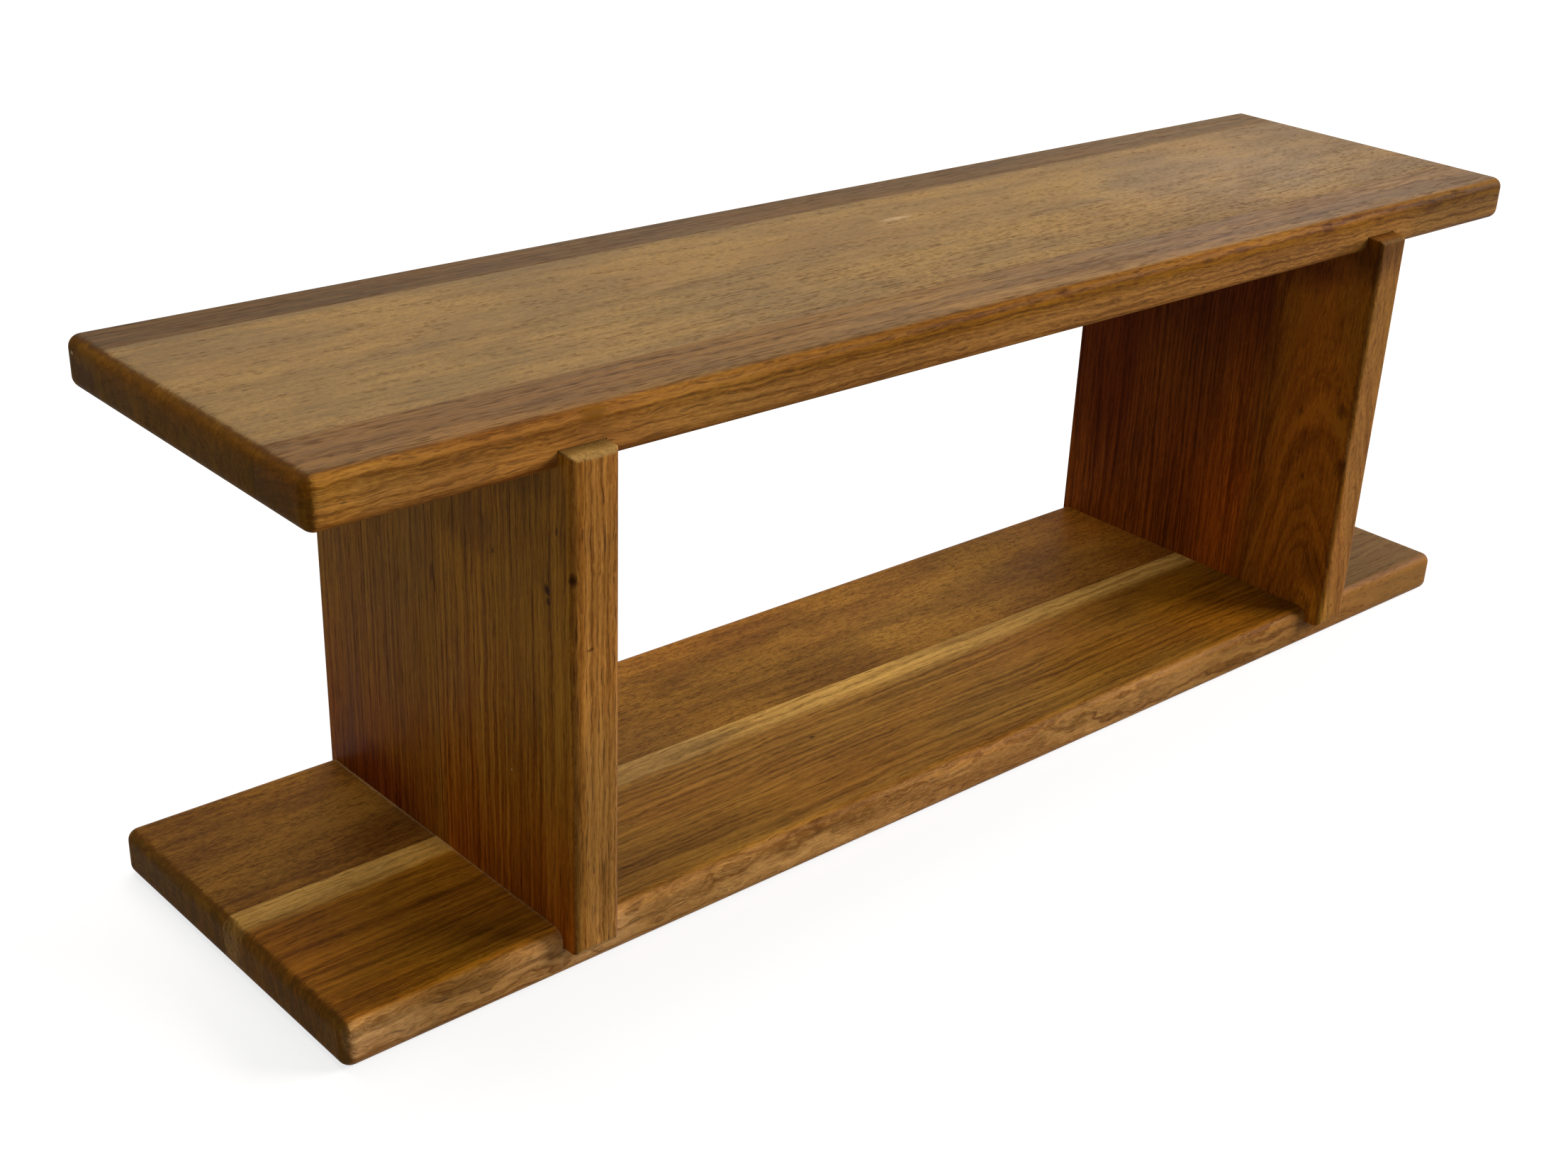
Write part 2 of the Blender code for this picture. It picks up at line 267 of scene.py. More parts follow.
def out_of_flat(along, across, up, waviness):
    """How far a face dips at each point: two slow crossed waves, never less than nothing."""
    slow = np.sin(2 * np.pi * (along / 0.31 + across / 0.47 + 0.15)) * np.cos(2 * np.pi * (up / 0.52 - along / 0.77))
    quick = np.sin(2 * np.pi * (along / 0.083 - across / 0.19 + up / 0.29)) * 0.35
    return waviness * (0.5 + 0.37 * (slow + quick))


def board_surface(name, axes, spans, radius, corner, free, rounded, housings, sizes):
    """A closed board: its section carried along the first of its axes.

    At each row the section is drawn in by the row's amount, its corners are arcs of the corner radius and its
    faces dip by out_of_flat. Heights are then held within the row's limits, which leaves the housings.
    """
    ring = section_ring(
        spans[1][1] - spans[1][0], spans[2][1] - spans[2][0], free, sizes.spacing, sizes.arc_steps)
    rows = stations(spans[0], radius, rounded, housings, sizes.spacing, sizes.arc_steps)
    place, drawn_in, lowest, highest = (column[:, None] for column in rows.T)
    part_u, part_v, out_u, out_v = ring.T
    bend = np.minimum(corner, np.maximum(radius - drawn_in, 0.0))
    inset = drawn_in + bend
    low_u, high_u = spans[1][0] + inset * free[0], spans[1][1] - inset * free[1]
    low_v, high_v = spans[2][0] + inset, spans[2][1] - inset
    core_u = low_u + (high_u - low_u) * part_u
    core_v = low_v + (high_v - low_v) * part_v
    dip = out_of_flat(place, core_u, core_v, sizes.waviness)
    points = np.empty((rows.shape[0], ring.shape[0], 3))
    points[..., axes[0]] = np.broadcast_to(place, core_u.shape)
    points[..., axes[1]] = core_u + out_u * (bend - dip)
    points[..., axes[2]] = np.clip(core_v + out_v * (bend - dip), lowest, highest)
    arris = np.abs(2 * out_u * out_v) + np.sin(np.pi * np.clip(drawn_in / radius, 0.0, 1.0))
    return closed_mesh(name, points, arris)


def closed_mesh(name, points, arris):
    """A mesh over a grid of rows of points, each row a closed ring, with a face over the first and last row."""
    rows, count = points.shape[:2]
    index = np.arange(rows * count).reshape(rows, count)
    after = np.roll(index, -1, axis=1)
    quads = np.stack([index[:-1], after[:-1], after[1:], index[1:]], axis=-1).reshape(-1, 4)
    faces = quads.tolist() + [index[0].tolist(), index[-1].tolist()]
    mesh = bpy.data.meshes.new(name)
    mesh.from_pydata(points.reshape(-1, 3).tolist(), [], faces)
    layer = mesh.attributes.new("arris", "FLOAT", "POINT")
    layer.data.foreach_set("value", np.minimum(arris, 1.0).astype(np.float32).ravel())
    shape = bmesh.new()
    shape.from_mesh(mesh)
    bmesh.ops.remove_doubles(shape, verts=shape.verts, dist=1e-7)
    bmesh.ops.recalc_face_normals(shape, faces=shape.faces)
    shape.to_mesh(mesh)
    shape.free()
    mesh.shade_smooth()
    mesh.set_sharp_from_angle(angle=math.radians(SHARP_ANGLE))
    return mesh


def screw_surface(name, spot, head_radius, length, turned, sizes):
    """A countersunk wood screw along Y: radius and height against the row, swept round the axis.

    The shank's radius rises over its core as a triangle wave of the height plus the angle, which is the thread.
    The head dips where a point is within half a bar's width of one arm of the cross and within its length.
    """
    angle = np.linspace(0.0, 2 * np.pi, SCREW_SIDES, endpoint=False)[None, :]
    head = np.linspace(0.0, head_radius, 26)
    cone = np.linspace(0.0, 1.0, 5)[1:]
    shank = np.arange(-SCREW_HEAD_HEIGHT, -length + SCREW_TIP, -sizes.thread_pitch / 8)
    point = np.linspace(0.0, 1.0, 16)[1:]
    radius = np.concatenate((head, head_radius + (SCREW_SHANK_RADIUS - head_radius) * cone,
                             np.full(shank.size, SCREW_SHANK_RADIUS), SCREW_SHANK_RADIUS * np.sqrt(1 - point)))
    height = np.concatenate((np.zeros(head.size), -SCREW_HEAD_HEIGHT * cone, shank,
                             -length + SCREW_TIP * (1 - point)))
    radius, height = np.broadcast_to(radius[:, None], (radius.size, angle.size)).copy(), height[:, None]
    wave = np.abs(((height / sizes.thread_pitch + angle / (2 * np.pi)) % 1.0) * 2 - 1)
    groove = sizes.thread_depth * np.clip(wave * 1.6, 0.0, 1.0) * (radius / SCREW_SHANK_RADIUS)
    radius -= np.where(height < -SCREW_HEAD_HEIGHT - SCREW_NECK, groove, 0.0)
    radius = np.maximum(radius, 0.0)
    along, aside = radius * np.cos(angle + turned), radius * np.sin(angle + turned)
    arm, bar = np.maximum(abs(along), abs(aside)), np.minimum(abs(along), abs(aside))
    inside = np.clip((CROSS_BAR - bar) / CROSS_BAR_EDGE, 0.0, 1.0)
    inside = inside * np.clip((CROSS_ARM - arm) / CROSS_ARM_EDGE, 0.0, 1.0)
    on_head = np.arange(radius.shape[0])[:, None] < head.size - 1
    height = height - np.where(on_head, inside * sizes.recess_depth, 0.0)
    points = np.stack([spot[0] + radius * np.cos(angle), spot[1] + height + 0.0 * radius,
                       spot[2] + radius * np.sin(angle)], axis=-1)
    return closed_mesh(name, points, np.zeros(radius.shape))


def merged_copy(node, name):
    """The drawing's own solid as one closed mesh, its flat faces whole again."""
    shape = bmesh.new()
    shape.from_mesh(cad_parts[node].data)
    bmesh.ops.remove_doubles(shape, verts=shape.verts, dist=1e-6)
    bmesh.ops.dissolve_limit(shape, angle_limit=math.radians(FLAT_ANGLE), verts=shape.verts, edges=shape.edges)
    mesh = bpy.data.meshes.new(name)
    shape.to_mesh(mesh)
    shape.free()
    return mesh


def add_piece(mesh, node, material):
    """Shows a mesh in place of the drawing's node, in a finish of its own."""
    piece = bpy.data.objects.new(mesh.name, mesh)
    bpy.context.scene.collection.objects.link(piece)
    mesh.materials.clear()
    mesh.materials.append(material)
    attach(piece, "root")
    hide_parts(node)
    return piece


# Finishes


class Value:
    """An output of a node. What is worked out with it becomes a node of the same recipe."""

    def __init__(self, recipe, socket):
        self.recipe, self.socket = recipe, socket

    def operate(self, operation, *others, **settings):
        kind = "ShaderNodeMath" if self.socket.type == "VALUE" else "ShaderNodeVectorMath"
        output = "Value" if operation == "LENGTH" else 0
        return self.recipe.out(kind, dict(enumerate((self, *others))), output, operation=operation, **settings)

    def __add__(self, other):
        return self.operate("ADD", other)

    def __sub__(self, other):
        return self.operate("SUBTRACT", other)

    def __rsub__(self, other):
        return self.recipe.out("ShaderNodeMath", {0: other, 1: self}, operation="SUBTRACT")

    def __mul__(self, other):
        return self.operate("MULTIPLY", other)

    def __truediv__(self, other):
        return self.operate("DIVIDE", other)

    def __abs__(self):
        return self.operate("ABSOLUTE")


class Recipe:
    """Adds nodes to a new material or world and joins them. An input takes a number, a tuple or a Value."""

    def __init__(self, owner):
        owner.use_nodes = True
        self.owner, self.tree = owner, owner.node_tree

    def put(self, socket, value):
        if isinstance(value, Value):
            self.tree.links.new(value.socket, socket)
        elif socket.type == "RGBA":
            socket.default_value = (*value, 1.0)
        else:
            socket.default_value = value

    def node(self, kind, values, **settings):
        made = self.tree.nodes.new(kind)
        for setting, value in settings.items():
            setattr(made, setting, value)
        for socket, value in values.items():
            self.put(made.inputs[socket], value)
        return made

    def out(self, kind, values, output=0, **settings):
        return Value(self, self.node(kind, values, **settings).outputs[output])

    def outs(self, kind, values, **settings):
        outputs = self.node(kind, values, **settings).outputs
        return {output.name: Value(self, output) for output in outputs}

    def split(self, value):
        return tuple(self.outs("ShaderNodeSeparateXYZ", {0: value}).values())

    def join(self, *values):
        return self.out("ShaderNodeCombineXYZ", dict(enumerate(values)))

    def step(self, value, low, high, bottom=0.0, top=1.0):
        """A soft step from the bottom to the top value between two places; it falls where low is above high."""
        values = {"Value": value, "From Min": low, "From Max": high, "To Min": bottom, "To Max": top}
        if low > high:
            values.update({"From Min": high, "From Max": low, "To Min": top, "To Max": bottom})
        return self.out("ShaderNodeMapRange", values, "Result", interpolation_type="SMOOTHSTEP")

    def noise(self, place, output="Fac", scale=1.0, detail=2.0, roughness=0.5, distortion=0.0):
        values = {"Vector": place, "Scale": scale, "Detail": detail, "Roughness": roughness, "Distortion": distortion}
        return self.out("ShaderNodeTexNoise", values, output, noise_dimensions="3D")

    def mix(self, factor, first, second, blend="MIX"):
        made = self.node("ShaderNodeMix", {}, data_type="RGBA", blend_type=blend)
        self.put(made.inputs[0], factor)
        for socket, colour in zip([socket for socket in made.inputs if socket.type == "RGBA"], (first, second)):
            self.put(socket, colour)
        return Value(self, next(socket for socket in made.outputs if socket.type == "RGBA"))

    def seen(self):
        """One for what the camera, a reflection or glass sees directly, nothing for light that falls on it."""
        rays = self.outs("ShaderNodeLightPath", {})
        seen = rays["Is Camera Ray"].operate("MAXIMUM", rays["Is Glossy Ray"])
        return seen.operate("MAXIMUM", rays["Is Transmission Ray"])

    def finish(self, colour, roughness, height, bump_distance, bump_strength=1.0, **constants):
        bump = self.out("ShaderNodeBump", {"Height": height, "Distance": bump_distance, "Strength": bump_strength})
        inputs = self.tree.nodes["Principled BSDF"].inputs
        for socket, value in (("Base Color", colour), ("Roughness", roughness), ("Normal", bump)):
            self.put(inputs[socket], value)
        for socket, value in constants.items():
            inputs[socket.replace("_", " ")].default_value = value
        return self.owner


def around(noise, gain):
    """A noise value spread about nothing: minus half, times the gain."""
    return (noise - 0.5) * gain


def pushed(place, noise_colour, reach):
    """A place moved by a noise's colour: minus half, times how far it may reach each way."""
    return place + (noise_colour - HALF) * reach


def tinted(colour, tint):
    return tuple(min(1.0, part * gain) for part, gain in zip(colour, tint))


def scaled(colour, gain):
    return tinted(colour, (gain,) * 3)


HALF = (0.5, 0.5, 0.5)
ACROSS = 1

# Colours of the wood's ends, of their rims, of oil that has dried with a painted sheen, and of the three kinds of
# marks
END_GRAIN = (0.155, 0.072, 0.008)
PANEL_END = (0.400, 0.235, 0.070)
RIM = (0.085, 0.032, 0.003)
# Grey of upward faces: oil that has dried, with a painted sheen, the reflection of the bright room
DRY_OIL_AND_SHEEN = (0.330, 0.270, 0.150)
MARK_COLOURS = {
    "amber_marks": (0.175, 0.066, 0.004),
    "dark_marks": (0.050, 0.014, 0.002),
    "pale_marks": (0.620, 0.460, 0.260),
}

# Tints, which are multiplied into the wood's colour
DARK_WOOD, PALE_WOOD = (0.55, 0.48, 0.40), (1.42, 1.50, 1.60)
DARK_BORDER, PALE_BORDER = (0.60, 0.54, 0.46), (1.34, 1.38, 1.45)
REDDER, GREENER = (1.12, 0.88, 0.72), (0.86, 0.96, 0.80)
DARK_LINE, PALE_LINE = (0.60, 0.50, 0.38), (1.24, 1.25, 1.20)
DASH, FINE_PORE, KNOB = (0.56, 0.48, 0.40), (0.62, 0.52, 0.42), (0.58, 0.48, 0.42)
# The uprights' arris tint: a dark ragged line and painted shade against the lamp's highlight on the rounding
PANEL_ARRIS_LINE_AND_SHADE, BOARD_ARRIS = (0.50, 0.38, 0.24), (1.10, 0.98, 0.75)
GLUE = (0.35, 0.25, 0.16)

# The noises that the wood is made of: millimetres along and across the grain, and the node's settings
NOISES = {
    "sway": (150.0, 45.0, dict(output="Color")),
    "ripple": (20.0, 8.0, dict(output="Color")),
    "tone": (160.0, 55.0, dict(output="Color", detail=1.0)),
    "fibre": (45.0, 1.1, dict(detail=3.0, roughness=0.6)),
    "thread": (9.0, 0.45, dict(detail=1.0)),
    "grit": (3.0, 1.2, dict(detail=3.0, roughness=0.7)),
    "fine": (5.5, 0.5, dict(detail=1.0)),
    "curl": (4.5, 1.7, dict(detail=3.0, distortion=1.2)),
    "knob": (22.0, 8.0, dict(distortion=0.5)),
    "patch": (150.0, 24.0, {}),
    "blotch": (85.0, 30.0, {}),
}

# How each stave was cut from its tree, how it has aged, and the light and shade painted on it. Places are in
# millimetres in the shelf's own axes.
# grain: the axis it runs along. pith: where the pith lay, across and through. ring: width of a ring
# lean, wander, ripple: how far rings lean along the grain, and how far slow and quick noise pushes them
# rings, streaks, lines, mottle, tone, fibre, grit, fleck, pores, fine: how strong each feature is
# line: length of the thin lines, and how many to a ring. dash: length, width and strength of the dark dashes
# pore_length, pore_gap: size of the cells. crowd: more pores, from and to across, then from and to along
# arches, calm: from and to along, where the rings' pores set in, and where streaks and lines fade
# dry_oil_and_sheen: how much upward faces grey, with dried oil and a painted sheen. rough, specular: the shader's own.
# seam: place and strength of the glue line
# end, end_glow: tints of a board's end wood and of its upper part. end_wear_and_shade: how much pale end wood covers
# an upright's ends, pale with wear at the front and painted shade behind; less on the right, as painted shadow
# lamp_side_shade: painted shade on an upright's faces to the right and the rear, which face the lamps
# amber: axis, from and to, where forward faces turn amber. glow: its tint. glowing: from and to, where it grows
# burl: strength, from and to, of the dark knobs in it. front: tint of the forward faces, partly their colour, partly
# painted light and shade
# front_shades: from, to and tint along the forward faces. shades: from, to, raggedness and tint along the others. Both
# are painted light, shade and sheen, with some tone
# painted_light_and_tone_patches: place, reach along and across the grain, and tint: painted shadow, light and sheen,
# with some tone
# amber_marks, dark_marks, pale_marks: place, reach along and across the grain, and strength
TOP_BOARD = dict(
    grain=0, wander=5, streaks=0.6, mottle=0.35, tone=0.25, fleck=0.05, pore_length=12, pore_gap=1.3,
    fine=0.4, rough=0.5, specular=0.03, end=(0.8, 0.66, 0.42), end_glow=(1.4, 1.25, 0.85),
    amber=(2, 258, 266),
)
LOWER_BOARD = dict(
    grain=0, mottle=0.4, tone=0.35, pores=0.55, specular=0.02, seam=(8, 0.3), end=(0.8, 0.77, 0.9),
    amber=(2, 19.5, 23.5),
)
LEFT_UPRIGHT = dict(
    grain=2, wander=4, rings=0.2, streaks=0.6, lines=0.75, mottle=0.4, tone=0.3, fibre=1.2, grit=0.7,
    fleck=0.05, dash=(30, 1.2, 0.35), pores=0.7, pore_gap=0.95, fine=0.45, dry_oil_and_sheen=0, rough=0.45, specular=0.02,
    seam=(1, 0.65), end_wear_and_shade=0.8, amber=(0, -281.5, -286.5),
)
RIGHT_UPRIGHT = dict(
    grain=2, line=(60, 2.2), fine=0.4, dry_oil_and_sheen=0, rough=0.45, specular=0.02, seam=(-45, 0.2), end_wear_and_shade=0.3,
    amber=(0, 269.5, 267),
)
FIGURES = {
    "top_shelf_front_stave": dict(
        TOP_BOARD, pith=(-96, 190), ring=3, lean=0.006, ripple=2.4, rings=0.2, line=(110, 1.6), lines=0.85,
        fibre=1.4, grit=0.8, dash=(34, 1.5, 0.85), pores=0.75, fine=0.35, dry_oil_and_sheen=0.6, seam=(-57, 0.35),
        front=(1.74, 1.84, 2.4), glow=(0.74, 0.65, 0.16), glowing=(-260, -60), burl=(0.9, -80, 40),
        front_shades=(
            (-320, -390, (1.32, 1.42, 1.45)), (280, 330, (0.64, 0.7, 0.78)),
        ),
        shades=((-80, 160, 40, (1.07, 1.22, 1.85)),),
        painted_light_and_tone_patches=(
            ((-399, -95, 256), 20, 14, (1.15, 1.1, 0.9)),
            # painted shade on the lower front edge above the right upright
            ((262, -95, 248), 40, 9, (0.62, 0.6, 0.55)),
            ((-225, -95, 263), 40, 14, (1.18, 1.22, 1.2)),
            ((-302, -95, 254), 22, 10, (1.25, 1.24, 1.1)),
            ((-60, -78, 271), 95, 15, (1.22, 1.25, 1.3)),
        ),
        amber_marks=((-272, -94.2, 268.1, 8.5, 4.2, 0.9),),
        dark_marks=(
            (150, -95, 268, 9, 2.6, 0.6), (121, -95.5, 266.5, 7, 2.2, 0.6),
        ),
    ),
    "top_shelf_middle_stave": dict(
        TOP_BOARD, pith=(30, 190), ring=4, lean=0.01, wander=7, ripple=3, rings=0.1, streaks=0.2,
        line=(50, 2.4), lines=0.5, mottle=0.3, tone=0.22, fibre=0.9, grit=1.5, fleck=0.6, dash=(26, 1.25, 0.8),
        pores=0.5, pore_length=6, pore_gap=1.6, crowd=(50, -30, -300, -60), dry_oil_and_sheen=1, rough=0.52,
        seam=(-57, 0.15),
        # painted sheen: greyer and lighter towards the right end
        shades=((100, 380, 0, (0.92, 0.96, 1.25)),),
        # painted sheen, greyer and lighter on the right
        painted_light_and_tone_patches=(((250, 0, 271), 110, 50, (1.1, 1.16, 1.32)),),
        dark_marks=(
            (-375.1, -0.8, 271, 1.8, 0.8, 0.7), (-368, -3.5, 271, 1.2, 0.7, 0.5),
        ),
        pale_marks=((25.8, 39.8, 271, 13, 3, 0.3),),
    ),
    "top_shelf_rear_stave": dict(
        TOP_BOARD, pith=(140, 205), ring=3.2, lean=0.004, ripple=1.8, rings=0.15, line=(110, 2), lines=0.8,
        fibre=1.3, grit=0.9, dash=(22, 2, 0.6), pores=0.6, dry_oil_and_sheen=0.5, seam=(75, 0.25),
        shades=(
            (120, 300, 60, (1.2, 1.28, 1.4)), (-120, -330, 60, (0.86, 0.82, 0.72)),
        ),
        pale_marks=((-403, 97.1, 263.9, 1, 1, 0.9),),
    ),
    "bottom_shelf_front_stave": dict(
        LOWER_BOARD, pith=(62, -42), ring=3.4, lean=0.014, wander=9, ripple=3.2, rings=0.25, streaks=0.65,
        line=(110, 1.5), lines=0.9, calm=(270, 290), fibre=1.1, grit=0.8, fleck=0.05, dash=(34, 1.5, 0.45),
        pore_length=12, pore_gap=1, fine=0.4, dry_oil_and_sheen=0.1, rough=0.42, front=(1.22, 1.32, 2.5),
        glow=(1, 0.97, 0.9), burl=(0.25, -400, -300),
        front_shades=(
            (100, 200, (0.74, 0.72, 0.6)), (-300, -270, (0.9, 0.9, 0.9)),
        ),
        shades=(
            # painted shade left of the right upright, painted sheen on the right overhang
            (60, 240, 60, (0.64, 0.54, 0.24)), (283, 291, 0, (0.95, 1.35, 6.5)),
            (-190, -250, 30, (0.82, 0.84, 0.95)), (-283, -291, 0, (1.48, 1.2, 0.46)),
            (-345, -385, 20, (0.72, 0.68, 0.8)),
        ),
        painted_light_and_tone_patches=(
            ((-355, -78, 24), 50, 26, (0.66, 0.68, 0.6)),
            ((-345, 2, 24), 50, 14, (1.36, 1.42, 1.55)),
            ((-297, -15, 24), 26, 26, (1.38, 1.4, 1.3)),
            ((-393, -95, 12), 36, 17, (1.45, 1.6, 2.1)),
            ((-288, -97, 20), 34, 15, (1.45, 1.5, 1.7)),
            ((-268, -96, 10), 22, 14, (1.24, 1.32, 1.55)),
            ((-130, -95, 14), 150, 14, (1.25, 1.3, 1.32)),
            ((-165, 6, 24), 55, 22, (0.72, 0.74, 0.92)),
            ((105, -62, 24), 50, 24, (0.86, 0.82, 0.62)),
            ((222, -48, 24), 46, 36, (1.55, 1.48, 1.1)),
        ),
        dark_marks=((-82.2, -30.1, 24.5, 2.6, 1.2, 0.9),),
        pale_marks=(
            (-290.9, 0, 24.5, 0.9, 150, 0.2), (322, -62, 24.5, 16, 5, 0.22),
        ),
    ),
    "bottom_shelf_rear_stave": dict(
        LOWER_BOARD, pith=(60, -40), ring=3, lean=0.004, wander=6, ripple=2.4, rings=0.1, streaks=0.3,
        line=(50, 2), lines=0.3, fibre=1, grit=1.4, fleck=0.55, dash=(8, 1.5, 0.7), pore_length=4.5,
        pore_gap=0.95, fine=0.55, dry_oil_and_sheen=0.05, rough=0.44,
        shades=(
            (200, 262, 30, (0.76, 0.62, 0.4)), (283, 291, 0, (1, 1.6, 4.6)),
            (-190, -250, 30, (0.84, 0.86, 0.95)), (-283, -291, 0, (1.19, 1.16, 1.05)),
        ),
        painted_light_and_tone_patches=(
            ((78, 52, 24), 105, 42, (1.36, 1.48, 1.65)),
            ((-170, 16, 24), 50, 24, (0.74, 0.76, 0.92)),
            ((-352, 16, 24), 30, 17, (1.3, 1.38, 1.4)),
        ),
        pale_marks=((-290.9, 60, 24.5, 0.9, 80, 0.2),),
    ),
    "left_panel_front_stave": dict(
        LEFT_UPRIGHT, pith=(-150, -380), ring=2.6, lean=0.006, ripple=2, line=(60, 2.2), pore_length=20,
        lamp_side_shade=(0.55, 0.62, 1.7), front=(0.9, 0.91, 1.85), glow=(0.9, 0.82, 0.62),
        front_shades=((170, 90, (0.8, 0.84, 0.92)),),
        shades=((180, 0, 220, (0.88, 0.5, 0.22)),),
        painted_light_and_tone_patches=(
            # the next two rows: painted shadow under the top board
            ((-290, -40, 240), 16, 50, (0.68, 0.68, 0.75)),
            ((-290, -25, 202), 16, 26, (0.72, 0.72, 0.85)),
            ((-282, -104, 22), 24, 15, (1.32, 1.36, 1.45)),
        ),
        dark_marks=(
            (-290.2, -86.5, 191.2, 3.3, 2.8, 1), (-290.2, -86.9, 186.3, 2.3, 2, 0.85),
            (-290.2, -103.6, 201.6, 4.2, 2.6, 1), (-290.2, -93.6, 220.3, 2.4, 1.2, 0.8),
            (-290.2, -46.7, 194.9, 1.8, 1.2, 0.7), (-281.5, -105, 168.2, 1, 2.2, 0.7),
        ),
        pale_marks=((-290.2, -57.3, 91.2, 0.9, 0.5, 0.8),),
    ),
    "left_panel_rear_stave": dict(
        LEFT_UPRIGHT, pith=(-120, -360), ring=2.8, lean=0.004, ripple=1.8, line=(70, 2.2), pore_length=18,
        lamp_side_shade=(0.58, 0.7, 1.8),
        shades=((180, 0, 220, (0.92, 0.58, 0.3)),),
        painted_light_and_tone_patches=(
            # painted shadow under the top board
            ((-290, 45, 240), 16, 60, (0.68, 0.68, 0.75)),
            ((-290, 60, 28), 26, 34, (0.72, 0.5, 0.7)),
        ),
        dark_marks=((-290.2, 1.5, 166.5, 6, 3, 0.6),),
    ),
    "right_panel_front_stave": dict(
        RIGHT_UPRIGHT, pith=(-86, 240), ring=4.4, lean=0.19, wander=18, ripple=3, rings=0.35,
        arches=(150, 60), streaks=0.45, lines=0.3, mottle=0.5, tone=0.4, fibre=1.4, grit=0.8, fleck=0.1,
        dash=(12, 1.4, 0.25), pores=0.45, pore_length=8, pore_gap=0.95, lamp_side_shade=(0.55, 0.72, 2.8),
        front=(0.72, 0.9, 2.6), glow=(0.95, 0.9, 0.55),
        painted_light_and_tone_patches=(
            # the rows high up: painted shadow under the top board
            ((270, -102, 258), 22, 22, (0.45, 0.42, 0.38)),
            ((266, -70, 240), 16, 40, (0.64, 0.58, 0.85)),
            ((265.7, -74, 80), 150, 30, (1.3, 1.14, 1)),
            ((266, -57, 227), 12, 24, (0.7, 0.62, 1)),
            ((266, -94, 24), 18, 16, (1.36, 1.46, 1.3)),
        ),
        dark_marks=(
            (265.7, -102.8, 234.2, 8, 3.2, 0.6), (265.7, -76.8, 105.6, 2.6, 1.4, 0.5),
            (265.7, -102.7, 119.1, 7, 3.4, 0.6), (265.7, -96.2, 152.7, 6.5, 4, 0.55),
            (265.7, -68.6, 144.6, 5, 2, 0.5), (265.7, -93.6, 51.5, 14, 8, 0.35),
        ),
    ),
    "right_panel_rear_stave": dict(
        RIGHT_UPRIGHT, pith=(130, 230), ring=3, lean=0.012, wander=5, ripple=2, rings=0.25, streaks=0.8,
        lines=0.8, mottle=0.4, tone=0.3, fibre=1.8, grit=0.7, fleck=0.05, dash=(34, 1.4, 0.4), pores=0.6,
        pore_length=22, pore_gap=1.15, lamp_side_shade=(0.62, 1, 2.6),
        shades=(
            (140, 200, 20, (0.78, 0.66, 0.9)), (180, 60, 60, (1.15, 1.05, 0.9)),
        ),
        painted_light_and_tone_patches=(
            ((265.7, 80, 150), 90, 36, (0.56, 0.42, 0.5)),
            ((265.7, -23, 75), 110, 21, (1.75, 1.8, 1.3)),
        ),
    ),
}


